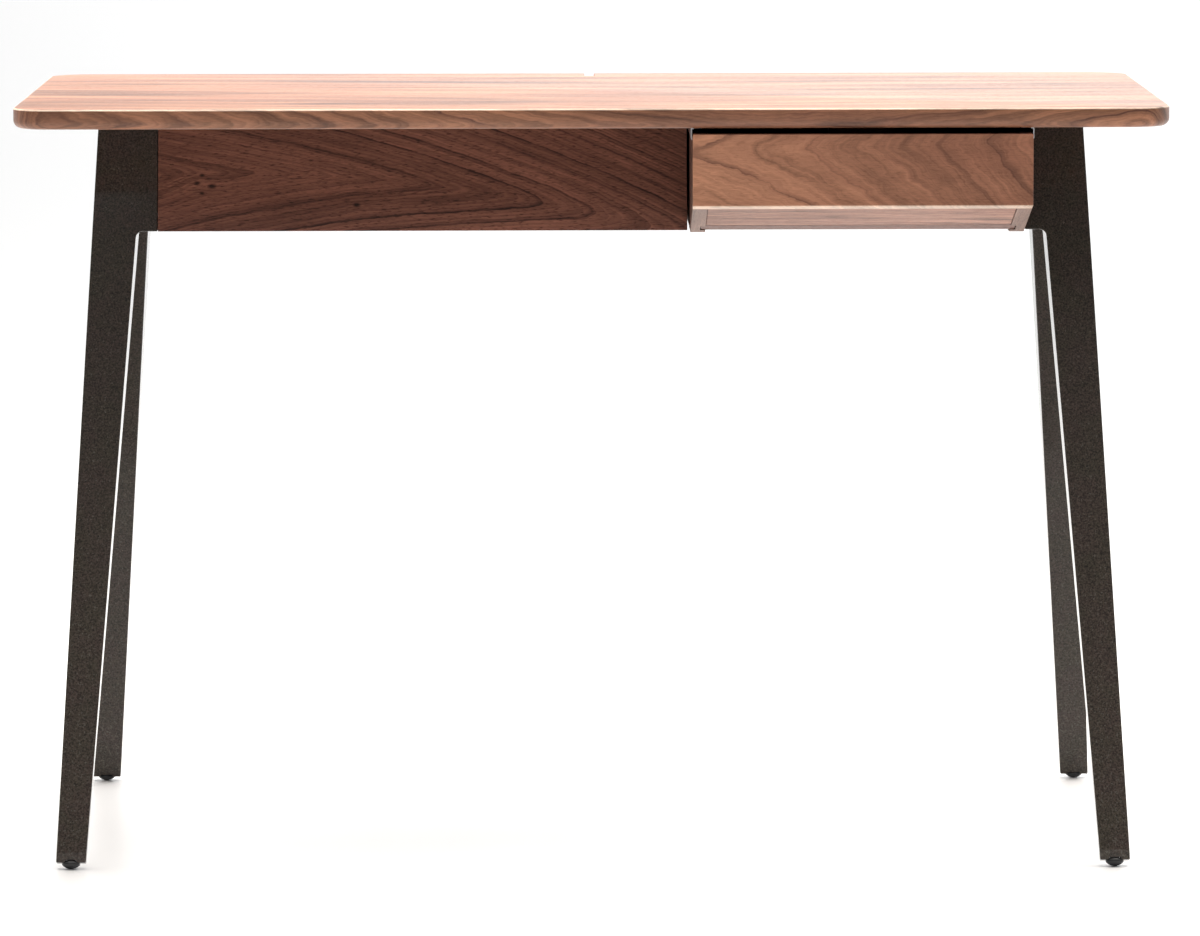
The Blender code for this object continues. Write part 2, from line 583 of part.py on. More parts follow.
# ---------------------------------------------------------------- assembly
def main():
    clear_scene()
    top_walnut = make_material("oiled_walnut_top", (0.30, 0.16, 0.10), 0.45)
    dark_walnut = make_material("dark_walnut", (0.10, 0.050, 0.033), 0.5)
    warm_walnut = make_material("warm_walnut", (0.26, 0.13, 0.075), 0.45)
    light_walnut = make_material("light_walnut", (0.38, 0.24, 0.19), 0.55)
    iron = make_material("textured_black_iron", (0.028, 0.026, 0.024), 0.6, 0.4)
    zinc = make_material("zinc_plated_steel", (0.55, 0.55, 0.56), 0.35, 1.0)
    rubber = make_material("black_glide_plastic", (0.015, 0.015, 0.016), 0.5)

    top = build_top(top_walnut)
    for side, sx in (("left", -1), ("right", 1)):
        for end, sy in (("front", -1), ("back", 1)):
            corner_name = "%s_%s" % (end, side)
            build_leg(corner_name + "_leg", sx, sy, iron)
            build_glide(corner_name, sx, sy, rubber, zinc)
        build_leg_joiners(side, sx, top, iron, zinc)
    front, back = build_frame(dark_walnut)
    build_clips(front, back, top, zinc)
    build_drawer(warm_walnut, light_walnut)
    build_runner("left", 1, DRAWER_LEFT, top, zinc)
    build_runner("right", -1, DRAWER_RIGHT, top, zinc)
    build_stop(top, dark_walnut, zinc)


main()
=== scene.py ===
"""Finished look of the walnut writing desk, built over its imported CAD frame.

Metres, +Z up, +Y to the back; the origin is on the floor under the middle of the top.
"""
import math

import bmesh
import bpy
from mathutils import Matrix, Vector


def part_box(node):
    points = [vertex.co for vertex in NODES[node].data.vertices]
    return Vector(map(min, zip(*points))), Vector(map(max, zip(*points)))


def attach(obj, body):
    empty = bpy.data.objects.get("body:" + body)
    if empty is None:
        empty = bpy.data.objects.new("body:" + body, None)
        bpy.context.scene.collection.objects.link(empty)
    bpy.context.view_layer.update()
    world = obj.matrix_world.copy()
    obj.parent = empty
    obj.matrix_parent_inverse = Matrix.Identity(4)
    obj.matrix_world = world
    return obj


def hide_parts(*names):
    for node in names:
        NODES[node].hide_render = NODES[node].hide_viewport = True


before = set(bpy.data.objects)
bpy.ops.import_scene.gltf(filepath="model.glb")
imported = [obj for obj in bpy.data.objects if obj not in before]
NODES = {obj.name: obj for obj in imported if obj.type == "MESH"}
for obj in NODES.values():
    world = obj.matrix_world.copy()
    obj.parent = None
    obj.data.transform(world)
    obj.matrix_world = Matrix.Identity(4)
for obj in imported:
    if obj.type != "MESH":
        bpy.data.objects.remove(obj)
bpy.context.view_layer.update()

# ---------------------------------------------------------------- shader building


class Paint:
    """One procedural material, built node by node."""

    def __init__(self, name):
        self.material = bpy.data.materials.new(name)
        self.material.use_nodes = True
        self.tree = self.material.node_tree
        self.shader = self.tree.nodes["Principled BSDF"]
        coordinates = self.tree.nodes.new("ShaderNodeTexCoord")
        self.position = coordinates.outputs["Object"]
        self.normal = coordinates.outputs["Normal"]

    def put(self, socket, value):
        """Links a socket, or sets a constant, on an input."""
        if isinstance(value, bpy.types.NodeSocket):
            self.tree.links.new(value, socket)
        elif value is not None:
            socket.default_value = value

    def node(self, kind, inputs=(), **settings):
        """Adds a shader node, with its settings and its inputs by name."""
        made = self.tree.nodes.new("ShaderNode" + kind)
        for key, value in settings.items():
            setattr(made, key, value)
        for key, value in dict(inputs).items():
            self.put(made.inputs[key], value)
        return made

    def math(self, operation, a, b=None, c=None, clamp=False):
        made = self.node("Math", operation=operation, use_clamp=clamp)
        for socket, value in zip(made.inputs, (a, b, c)):
            self.put(socket, value)
        return made.outputs[0]

    def vector(self, operation, a, b=None):
        made = self.node("VectorMath", operation=operation)
        for socket, value in zip(made.inputs, (a, b)):
            self.put(socket, value)
        return made.outputs[0]

    def join(self, x, y, z):
        return self.node("CombineXYZ", {"X": x, "Y": y, "Z": z}).outputs[0]

    def noise(self, place, stretch, detail=3.0, roughness=0.5, distortion=0.0):
        """Noise whose cells are 1 / stretch metres along each axis."""
        scaled = self.vector("MULTIPLY", place, stretch)
        made = self.node("TexNoise", {"Vector": scaled, "Scale": 1.0, "Detail": detail,
                                      "Roughness": roughness, "Distortion": distortion})
        return made.outputs["Fac"]

    def ramp(self, value, stops):
        """A curve through (position, grey or colour) stops."""
        made = self.node("ValToRGB", {"Fac": value})
        band = made.color_ramp
        while len(band.elements) < len(stops):
            band.elements.new(0.5)
        for element, (place, shade) in zip(band.elements, stops):
            element.position = place
            grey = (shade, shade, shade, 1.0)
            element.color = grey if isinstance(shade, (int, float)) else (*shade, 1.0)
        return made.outputs["Color"]

    def mix(self, amount, a, b):
        """Colour a turning into colour b as amount goes from 0 to 1."""
        made = self.node("Mix", data_type="RGBA", clamp_factor=True)
        self.put(made.inputs["Factor"], amount)
        for label, value in (("A", a), ("B", b)):
            socket = [item for item in made.inputs
                      if item.name == label and item.type == "RGBA"][0]
            self.put(socket, (*value, 1.0) if isinstance(value, tuple) else value)
        return [item for item in made.outputs if item.type == "RGBA"][0]

    def scale_colour(self, colour, factor):
        """A colour made lighter or darker."""
        made = self.node("VectorMath", operation="SCALE")
        self.put(made.inputs[0], colour)
        self.put(made.inputs["Scale"], factor)
        return made.outputs[0]

    def bump(self, height, distance, strength):
        made = self.node("Bump", {"Height": height, "Distance": distance, "Strength": strength})
        return made.outputs["Normal"]

    def finish(self, **inputs):
        """Sets the shader's inputs and gives back the finished material."""
        names = {"colour": "Base Color", "roughness": "Roughness", "metal": "Metallic",
                 "normal": "Normal", "coat": "Coat Weight", "coat_roughness": "Coat Roughness",
                 "gloss": "Specular IOR Level"}
        for key, value in inputs.items():
            self.put(self.shader.inputs[names[key]], value)
        return self.material


# The wood's noises, in cells per metre along the grain and in the two directions across it.
DRIFT_UP = (2.2, 3.0, 3.0)           # slow wander of the log's heart
DRIFT_SIDE = (2.0, 4.0, 4.0)
RIPPLE = (8.0, 30.0, 30.0)           # waves in the rings
RAGGED = (38.0, 70.0, 70.0)          # their ragged edges
CLOUD = (3.0, 14.0, 14.0)
BLOTCH = (28.0, 60.0, 60.0)
STREAK = (7.0, 260.0, 260.0)         # these two follow the rings
BAND = (3.0, 30.0, 30.0)
FIBRE = (90.0, 1300.0, 1300.0)
PORE = (150.0, 1100.0, 1100.0)
JOINT_EDGE = 140.0                   # how sharply a glue joint's shadow ends, per metre
BOARD_SHIFT, BOARD_RISE = 3.7, 0.043   # where the next board was cut from the log
# colour of the painted shade on faces that sit in narrow gaps
GAP_SHADE_COLOUR = (0.120, 0.052, 0.036)
# pale colour of the painted highlights on the top's rim and the drawer front's lower edge
EDGE_HIGHLIGHT_COLOUR = (0.72, 0.56, 0.44)


def walnut(name, pale, mid, dark, heart, spacing=0.006, taper=0.08, curve=0.0, start=0.0,
           tilt=0.0, bend=0.0, bend_x=0.0, wobble=0.006, ragged=0.002, line=0.16, depth=0.75,
           along="X", knots=(), fade=None, face=None, joint=None, highlight_hem=None, gap_shade=0.0,
           pores=0.5, gloss=0.42, fine=0.3, mottle=0.35, broad=0.3, shine=0.28):
    """Oiled walnut sawn from a log whose heart runs beside the board.

    pale, mid: the two tones of the wood, and dark the late wood of a ring.
    heart: the log's centre line, in the board's two short directions.
    spacing, taper, curve, start: width of a ring, how the rings widen along the grain, and
    where the first one lies.
    tilt, bend, bend_x: how the centre line turns away from the board.
    wobble, ragged: how far the rings wander, slowly and finely.
    line, depth, fine: share of a ring that is late wood, how dark it is, and how strongly
    the fine rings between show.
    knots: their places along and up the board, their sizes, and how far they push the rings.
    fade: run along the grain over which the pale tone gives way to the mid tone, which also paints
    light falling off.
    face: height above which the upper face is painted lighter, as painted light, and bolder in its
    figure.
    joint: place of a glue joint across the grain, and the run over which it fades.
    hem: height below which the wood is painted pale, as a painted highlight along its lower edge.
    flank: how far the faces that look sideways are darkened, as painted shade for a narrow gap.
    pores, mottle, broad: strength of the pores, of the fine streaks and of the wide bands.
    gloss, shine: roughness of the oiled surface, and how strongly it reflects.
    """
    paint = Paint(name)
    math_node, noise = paint.math, paint.noise

    def product(a, b):
        return math_node("MULTIPLY", a, b)

    def swing(stretch, detail, reach):
        """Noise from -reach to reach."""
        value = noise(place, stretch, detail, 0.55)
        return product(math_node("SUBTRACT", value, 0.5), reach * 2)

    def shade(value, amount, tone):
        """A tone made lighter or darker by a noise."""
        return math_node("MULTIPLY_ADD", math_node("SUBTRACT", value, 0.5), amount, tone)

    place = paint.position
    if along == "Y":
        place = paint.node("Mapping", {"Vector": place,
                                       "Rotation": (0, 0, -math.pi / 2)}).outputs[0]
    x, y, z = paint.node("SeparateXYZ", {"Vector": place}).outputs
    close = 0.0
    if joint:
        at, strong, weak = joint
        near = product(math_node("ABSOLUTE", math_node("SUBTRACT", y, at)), JOINT_EDGE)
        near = math_node("SUBTRACT", 1.0, near, clamp=True)
        ends = paint.node("MapRange", {"Value": x, "From Min": strong, "From Max": weak,
                                       "To Min": -0.7, "To Max": -0.15})
        close = product(near, ends.outputs[0])
        past = math_node("GREATER_THAN", y, at)
        place = paint.vector("ADD", place, paint.join(product(past, BOARD_SHIFT), 0.0, 0.0))
        y = math_node("MULTIPLY_ADD", past, BOARD_RISE, y)

    # distance from the log's heart, which sets the rings
    across = math_node("SUBTRACT", x, bend_x)
    lift = product(product(across, across), bend)
    lift = math_node("MULTIPLY_ADD", x, tilt, lift)
    lift = math_node("ADD", lift, swing(DRIFT_UP, 1.0, wobble))
    v = math_node("ADD", math_node("SUBTRACT", y, heart[0]), swing(DRIFT_SIDE, 1.0, wobble))
    w = math_node("SUBTRACT", math_node("SUBTRACT", z, heart[1]), lift)
    reach = math_node("SQRT", math_node("MULTIPLY_ADD", v, v, product(w, w)))
    reach = math_node("MULTIPLY_ADD", x, taper, reach)
    reach = math_node("MULTIPLY_ADD", product(x, x), curve, reach)
    reach = math_node("ADD", reach, start)
    reach = math_node("ADD", reach, swing(RIPPLE, 3.0, wobble * 0.35))
    reach = math_node("ADD", reach, swing(RAGGED, 3.0, ragged))
    specks = 0.0
    for knot_x, knot_z, size, push in knots:
        away = paint.vector("SUBTRACT", paint.join(x, 0.0, z), (knot_x, 0.0, knot_z))
        away = paint.vector("MULTIPLY", away, (0.6 / size, 1.0, 1.0 / size))
        far = paint.node("VectorMath", {0: away}, operation="LENGTH").outputs["Value"]
        specks = math_node("MAXIMUM", specks, math_node("SUBTRACT", 1.5, far, clamp=True))
        if push:
            spread = math_node("MULTIPLY_ADD", product(far, far), 0.02, 1.0)
            reach = math_node("ADD", reach, math_node("DIVIDE", push, spread))

    def rings(width, share, seed):
        """Late wood: rises through the year, then stops short; each year its own strength."""
        years = math_node("DIVIDE", reach, width)
        year = math_node("ADD", math_node("FLOOR", years), seed)
        own = paint.node("TexWhiteNoise", {"W": year}, noise_dimensions="1D").outputs["Value"]
        late = paint.ramp(math_node("FRACT", years),
                          [(0.0, 0.25), (0.10, 0.02), (1.0 - share * 3.0, 0.16),
                           (1.0 - share, 0.72), (1.0 - share * 0.35, 1.0), (1.0, 0.25)])
        return product(late, math_node("MULTIPLY_ADD", own, 0.65, 0.35))

    late = product(rings(spacing, line, 0.0), depth)
    late = math_node("MULTIPLY_ADD", rings(spacing * 0.27, 0.25, 40.0), fine * depth, late)

    blotch = noise(place, BLOTCH, 3.0, 0.6)
    ring_place = paint.join(x, reach, product(z, 0.06))
    streak = noise(ring_place, STREAK, 3.0, 0.65)
    band = noise(ring_place, BAND, 3.0, 0.55)
    fibre = noise(place, FIBRE, 3.0, 0.6)
    pore = paint.ramp(noise(place, PORE, 1.0, 0.5), [(0.56, 0.0), (0.70, 1.0)])

    warm = paint.ramp(noise(place, CLOUD, 4.0, 0.6, 0.6), [(0.30, 0.0), (0.66, 1.0)])
    # partly painted light: the pale tone giving way to the mid tone also paints the light falling
    # off along the board
    if fade:
        gone = paint.node("MapRange", {"Value": x, "From Min": fade[0], "From Max": fade[1]})
        warm = math_node("MULTIPLY_ADD", warm, 0.4, product(gone.outputs[0], 0.6))
    late = product(late, paint.ramp(blotch, [(0.30, 0.45), (0.60, 1.0)]))
    colour = paint.mix(late, paint.mix(warm, pale, mid), dark)

    painted_light_top, bold, painted_edge_highlight = 0.0, broad * 3.0, 0.0
    # painted highlight: a pale strip along the drawer front's lower edge
    if highlight_hem:
        painted_edge_highlight = math_node("LESS_THAN", z, highlight_hem)
    if face:
        # painted light: the upper face, above this height, is painted lighter than the edges
        painted_light_top = math_node("GREATER_THAN", z, face)
        bold = math_node("MULTIPLY_ADD", painted_light_top, bold * 1.5, bold)
        # painted highlight: a pale ring along the top's rounded upper arris
        rim = paint.vector("SUBTRACT", paint.vector("ABSOLUTE", paint.position),
                           (TOP_HIGH.x - CORNER, TOP_HIGH.y - CORNER, face))
        rim = paint.vector("MULTIPLY", paint.vector("MAXIMUM", rim, (0.0, 0.0, 0.0)),
                           (1.0, 1.0, 0.0))
        out = paint.node("VectorMath", {0: rim}, operation="LENGTH").outputs["Value"]
        painted_edge_highlight = product(math_node("GREATER_THAN", out, CORNER - ARRIS * 0.9), painted_light_top)
    # painted light: the top's upper face is painted about half as bright again as its edges
    tone = shade(streak, mottle * 3.0, math_node("MULTIPLY_ADD", painted_light_top, 0.53, 0.91))
    tone = math_node("ADD", shade(band, bold, tone), close)
    tone = shade(blotch, mottle * 1.2, tone)
    tone = shade(fibre, mottle * 1.6, tone)
    tone = product(tone, math_node("MULTIPLY_ADD", pore, -0.6 * pores, 1.0))
    tone = product(tone, math_node("MULTIPLY_ADD", specks, -0.85, 1.0))
    # painted shade: faces that look sideways are darkened as if in the shade of a narrow gap
    if gap_shade:
        normal_x = paint.node("SeparateXYZ", {"Vector": paint.normal}).outputs["X"]
        sideways = math_node("GREATER_THAN", math_node("ABSOLUTE", normal_x), 0.7)
        colour = paint.mix(product(sideways, gap_shade), colour, GAP_SHADE_COLOUR)
    if highlight_hem or face:
        # the painted highlights are mixed in here
        colour = paint.mix(product(painted_edge_highlight, 0.7), colour, EDGE_HIGHLIGHT_COLOUR)
    rough = math_node("MULTIPLY_ADD", fibre, 0.16, gloss - 0.08)
    rough = math_node("MULTIPLY_ADD", pore, 0.18, rough)
    height = math_node("MULTIPLY_ADD", pore, -pores, product(fibre, 0.5))
    return paint.finish(colour=paint.scale_colour(colour, tone), roughness=rough, gloss=shine,
                        normal=paint.bump(height, 0.00012, 0.6))


def black_iron(name):
    """Sand-cast iron under black paint: a mottled, grainy skin with fine pale specks.

    The specks grow, and the paint turns lighter, towards the feet.
    """
    paint = Paint(name)

    def skin_noise(cells, detail, roughness):
        return paint.noise(paint.position, (cells, cells, cells), detail, roughness)

    sand = skin_noise(520.0, 3.0, 0.65)
    grain = skin_noise(560.0, 3.0, 0.7)
    height = paint.node("SeparateXYZ", {"Vector": paint.position}).outputs["Z"]
    bare = paint.node("MapRange", {"Value": height, "From Min": 0.62, "From Max": 0.05,
                                   "To Min": 0.64, "To Max": 0.56}).outputs[0]
    speck = paint.node("MapRange", {"Value": skin_noise(420.0, 2.0, 0.75), "From Min": bare,
                                    "From Max": paint.math("ADD", bare, 0.10)}).outputs[0]
    colour = paint.mix(paint.ramp(skin_noise(32.0, 3.0, 0.6), [(0.38, 0.0), (0.62, 1.0)]),
                       (0.0240, 0.0195, 0.0145), (0.0262, 0.0190, 0.0158))
    depth = paint.math("MULTIPLY_ADD", paint.ramp(grain, [(0.34, 0.0), (0.66, 1.0)]), 1.6, 0.3)
    # the paint is made lighter towards the feet
    lighter_low = paint.math("MULTIPLY_ADD", paint.math("SUBTRACT", 0.65, bare), 6.0, 1.0)
    colour = paint.scale_colour(colour, paint.math("MULTIPLY", depth, lighter_low))
    colour = paint.mix(paint.math("MULTIPLY", speck, 0.65), colour, (0.110, 0.100, 0.084))
    relief = paint.math("MULTIPLY_ADD", skin_noise(1500.0, 2.0, 0.6), 0.25, sand)
    rough = paint.math("MULTIPLY_ADD", sand, 0.30, 0.36)
    paint.put(paint.shader.inputs["Coat IOR"], 1.28)
    return paint.finish(colour=colour, roughness=rough, gloss=0.16, coat=1.0,
                        coat_roughness=0.10, normal=paint.bump(relief, 0.0006, 0.7))


def zinc_steel(name):
    """Bright zinc plate with faint spangle and rolling marks along Y."""
    paint = Paint(name)
    spangle = paint.node("TexVoronoi", {"Vector": paint.position, "Scale": 220.0}).outputs["Color"]
    rolled = paint.noise(paint.position, (900.0, 6.0, 900.0), 3.0, 0.6)
    patch = paint.node("SeparateColor", {"Color": spangle}).outputs[0]
    colour = paint.mix(patch, (0.52, 0.53, 0.55), (0.68, 0.68, 0.69))
    colour = paint.mix(paint.math("MULTIPLY", rolled, 0.5), colour, (0.40, 0.41, 0.43))
    rough = paint.math("MULTIPLY_ADD", rolled, 0.25, 0.18)
    return paint.finish(colour=colour, roughness=rough, metal=1.0,
                        normal=paint.bump(rolled, 0.00004, 0.4))


def moulded_plastic(name):
    """Black nylon with a faint moulded grain."""
    paint = Paint(name)
    grain = paint.noise(paint.position, (1300.0, 1300.0, 1300.0), 3.0, 0.6)
    haze = paint.noise(paint.position, (90.0, 90.0, 90.0), 2.0, 0.5)
    colour = paint.mix(haze, (0.010, 0.010, 0.011), (0.020, 0.020, 0.021))
    rough = paint.math("MULTIPLY_ADD", haze, 0.22, 0.30)
    return paint.finish(colour=colour, roughness=rough, gloss=0.5,
                        normal=paint.bump(grain, 0.00008, 0.5))


# ---------------------------------------------------------------- mesh building
SHARP_ANGLE = 25             # degrees between faces past which an edge is eased
WELD = 1e-6                  # metres
FLAT_ANGLE = 0.5             # degrees


def finish_mesh(name, bm, material, body, nodes, smooth=None):
    """Turns a bmesh into a piece that rides on a body and stands for CAD nodes."""
    bmesh.ops.recalc_face_normals(bm, faces=bm.faces)
    mesh = bpy.data.meshes.new(name)
    bm.to_mesh(mesh)
    bm.free()
    if smooth is not None:
        mesh.shade_smooth()
        mesh.set_sharp_from_angle(angle=math.radians(smooth))
    piece = bpy.data.objects.new(name, mesh)
    bpy.context.scene.collection.objects.link(piece)
    mesh.materials.append(material)
    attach(piece, body)
    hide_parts(*nodes)
    return piece


def cad_shape(node):
    """A CAD node's shape with whole faces."""
    bm = bmesh.new()
    bm.from_mesh(NODES[node].data)
    bmesh.ops.remove_doubles(bm, verts=bm.verts, dist=WELD)
    bmesh.ops.dissolve_limit(bm, angle_limit=math.radians(FLAT_ANGLE), verts=bm.verts,
                             edges=bm.edges)
    return bm


def bevel_sharp(bm, width, segments):
    """Rounds the sharp edges of a shape."""
    sharp = [edge for edge in bm.edges
             if len(edge.link_faces) == 2 and edge.calc_face_angle() > math.radians(SHARP_ANGLE)]
    bmesh.ops.bevel(bm, geom=sharp, offset=width, segments=segments, profile=0.5,
                    affect="EDGES", clamp_overlap=True)


def eased(name, node, material, body, width):
    """A CAD node's shape with its sharp edges eased by width."""
    bm = cad_shape(node)
    bevel_sharp(bm, width, 2)
    finish_mesh(name, bm, material, body, [node])


def skin(rings):
    """A closed mesh through rings of equal length."""
    bm = bmesh.new()
    loops = [[bm.verts.new(point) for point in ring] for ring in rings]
    for low, high in zip(loops, loops[1:]):
        count = len(low)
        for index in range(count):
            following = (index + 1) % count
            bm.faces.new((low[index], low[following], high[following], high[index]))
    bm.faces.new(loops[0])
    bm.faces.new(loops[-1])
    bmesh.ops.recalc_face_normals(bm, faces=bm.faces)
    return bm


def turned(profile, origin, axis, segments):
    """A (radius, distance) profile turned about an axis through origin."""
    turn = Vector((0, 0, 1)).rotation_difference(Vector(axis)).to_matrix()
    rings = []
    for radius, along in profile:
        ring = []
        for index in range(segments):
            angle = 2 * math.pi * index / segments
            point = Vector((radius * math.cos(angle), radius * math.sin(angle), along))
            ring.append(Vector(origin) + turn @ point)
        rings.append(ring)
    return skin(rings)


def arc(centre, radius, start, end, steps):
    """Points on an arc in a plane, angles in degrees."""
    points = []
    for step in range(steps + 1):
        angle = math.radians(start + (end - start) * step / steps)
        points.append((centre[0] + radius * math.cos(angle), centre[1] + radius * math.sin(angle)))
    return points


def take_away(piece, bm):
    """Cuts a bmesh's shape out of a piece, for good."""
    shape = bpy.data.meshes.new("cutter")
    bm.to_mesh(shape)
    bm.free()
    cutter = bpy.data.objects.new("cutter", shape)
    bpy.context.scene.collection.objects.link(cutter)
    cutting = piece.modifiers.new("cut", "BOOLEAN")
    cutting.operation = "DIFFERENCE"
    cutting.solver = "EXACT"
    cutting.object = cutter
    bpy.context.view_layer.update()
    graph = bpy.context.evaluated_depsgraph_get()
    result = bpy.data.meshes.new_from_object(piece.evaluated_get(graph))
    piece.modifiers.clear()
    piece.data = result
    bpy.data.objects.remove(cutter)


# ---------------------------------------------------------------- tabletop
TOP_LOW, TOP_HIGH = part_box("tabletop")
CORNER = 0.040               # the top's corners, seen from above
CORNER_STEPS = 20
ARRIS = 0.0015               # rounding of the upper edge
ARRIS_STEPS = 3
UNDER_ROUND = 0.008          # rounding of the lower edge
UNDER_STEPS = 8
NOTCH_HALF = 0.005
NOTCH_DEPTH = 0.050
NOTCH_EASE = 0.0008


def top_plan(inset, z):
    """The top's outline with its cable notch, set in by inset, at height z."""
    half_x, half_y = TOP_HIGH.x, TOP_HIGH.y
    points = []
    for quarter, (sx, sy) in enumerate(((1, 1), (-1, 1), (-1, -1), (1, -1))):
        centre = (sx * (half_x - CORNER), sy * (half_y - CORNER))
        points += arc(centre, CORNER - inset, 90 * quarter, 90 * quarter + 90, CORNER_STEPS)
        if quarter == 0:
            ease = min(inset, NOTCH_EASE)
            near, far = half_y - inset, half_y - NOTCH_DEPTH - ease
            side = NOTCH_HALF + ease
            points += [(side, near), (side, far), (-side, far), (-side, near)]
    return [(x, y, z) for x, y in points]


def build_top(material):
    """The board with its rounded corners, its eased edges and its cable notch."""
    rings = []
    for step in range(UNDER_STEPS + 1):
        angle = math.pi / 2 * step / UNDER_STEPS
        rings.append(top_plan(UNDER_ROUND * (1 - math.sin(angle)),
                              TOP_LOW.z + UNDER_ROUND * (1 - math.cos(angle))))
    for step in range(ARRIS_STEPS + 1):
        angle = math.pi / 2 * step / ARRIS_STEPS
        rings.append(top_plan(ARRIS * (1 - math.cos(angle)),
                              TOP_HIGH.z - ARRIS * (1 - math.sin(angle))))
    finish_mesh("walnut_top", skin(rings), material, "desk", ["tabletop"], 40)


# ---------------------------------------------------------------- cast legs
UNDERSIDE = TOP_LOW.z
LEAN = 0.246                 # outward lean of the faces, per metre of drop
HALF_DEPTH = 0.108           # middle of the desk to the outward faces, under the top
TOP_REACH = 0.062            # a leg's size front to back, under the top
DEPTH_TAPER = 0.0616         # what that loses per metre of drop
OUTER_X, OUTER_SPLAY = 0.5002, 0.0527
INNER_X, INNER_SPLAY = 0.4528, 0.0762
HEAD_X = 0.440
HEAD_BOTTOM = 0.630
HEAD_FILLET = 0.007
HEAD_FILLET_STEPS = 10
TOE_TOP = 0.0180             # below this the outward face is upright
BLANK_LOW = -0.02            # the legs are drawn to here before their ends are cut
CAST_EDGE = 0.0013
SPOT_FACE_RADIUS = 0.0092
SPOT_FACE_GAP = 0.0004       # between the recess and the pad's crown
BORE_RADIUS = 0.0043
CUT_PAST = 0.002
BORE_SIDES = 40


def face_y(z):
    """Distance from the middle of the desk to the legs' outward faces at height z."""
    return HALF_DEPTH + LEAN * (UNDERSIDE - z)


def leg_back_y(z):
    """The same for the faces that look inward."""
    return face_y(z) - TOP_REACH + DEPTH_TAPER * (UNDERSIDE - z)


def edge_x(top, splay, z):
    """Where a leg's side edge is at height z."""
    return top + splay * (UNDERSIDE - z)


def fillet(before, corner, after, radius, steps):
    """The points of an arc that rounds the corner between two straight runs."""
    corner = Vector(corner)
    run_in = (Vector(before) - corner).normalized()
    run_out = (Vector(after) - corner).normalized()
    half = run_in.angle(run_out) / 2
    middle = corner + (run_in + run_out).normalized() * (radius / math.sin(half))
    tangent = radius / math.tan(half)
    start = corner + run_in * tangent - middle
    end = corner + run_out * tangent - middle
    return [tuple(middle + start.slerp(end, step / steps).normalized() * radius)
            for step in range(steps + 1)]


def build_leg(end, side, material):
    """A cast leg with rounded edges, an upright toe and a spot-faced foot."""
    sx, sy = (-1 if side == "left" else 1), (-1 if end == "front" else 1)
    corner = "%s_%s" % (end, side)
    head_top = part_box(corner + "_leg")[1].z
    bend = (edge_x(INNER_X, INNER_SPLAY, HEAD_BOTTOM), HEAD_BOTTOM)
    inner_low = (edge_x(INNER_X, INNER_SPLAY, BLANK_LOW), BLANK_LOW)
    outline = [(edge_x(OUTER_X, OUTER_SPLAY, head_top), head_top),
               (edge_x(OUTER_X, OUTER_SPLAY, BLANK_LOW), BLANK_LOW), inner_low,
               *fillet(inner_low, bend, (HEAD_X, HEAD_BOTTOM), HEAD_FILLET, HEAD_FILLET_STEPS),
               (HEAD_X, HEAD_BOTTOM), (HEAD_X, head_top)]
    bm = skin([[(sx * x, sy * depth(z), z) for x, z in outline]
               for depth in (face_y, leg_back_y)])
    middle, axis, inner, seat, tip = stud_line(corner)
    foot = min((vertex.co for vertex in NODES[corner + "_leg"].data.vertices),
               key=lambda place: place.z)
    toe = Vector((0, sy * face_y(TOE_TOP), TOE_TOP))
    for point, outward in ((toe, Vector((0, sy, 0))), (foot, axis)):
        everything = bm.verts[:] + bm.edges[:] + bm.faces[:]
        sliced = bmesh.ops.bisect_plane(bm, geom=everything, dist=1e-7, plane_co=point,
                                        plane_no=outward, clear_outer=True)
        rim = [item for item in sliced["geom_cut"] if isinstance(item, bmesh.types.BMEdge)]
        bmesh.ops.holes_fill(bm, edges=rim, sides=0)
    bmesh.ops.recalc_face_normals(bm, faces=bm.faces)
    bevel_sharp(bm, CAST_EDGE, 3)
    piece = finish_mesh(corner + "_cast_leg", bm, material, "desk",
                        [corner + "_leg"])
    for radius, floor_at in ((SPOT_FACE_RADIUS, seat - SPOT_FACE_GAP), (BORE_RADIUS, inner)):
        deep = tip + CUT_PAST - floor_at
        take_away(piece, turned([(radius, 0.0), (radius, deep)], middle + axis * floor_at, axis,
                                BORE_SIDES))


def span(corner, part, middle, axis):
    """How far a CAD glide part reaches along its axis, and how wide it is."""
    points = [vertex.co - middle for vertex in NODES["%s_glide_%s" % (corner, part)].data.vertices]
    along = [point.dot(axis) for point in points]
    wide = max((point - axis * point.dot(axis)).length for point in points)
    return min(along), max(along), wide


def stud_line(corner):
    """A glide's centre, its outward direction, and where stud and pad begin and end."""
    sy = -1 if corner.startswith("front") else 1
    axis = Vector((0, sy * (LEAN + DEPTH_TAPER / 2), -1)).normalized()
    points = [vertex.co.copy() for vertex in NODES[corner + "_glide_stud"].data.vertices]
    middle = sum(points, Vector()) / len(points)
    inner = span(corner, "stud", middle, axis)[0]
    seat, tip, _ = span(corner, "pad", middle, axis)
    return middle, axis, inner, seat, tip


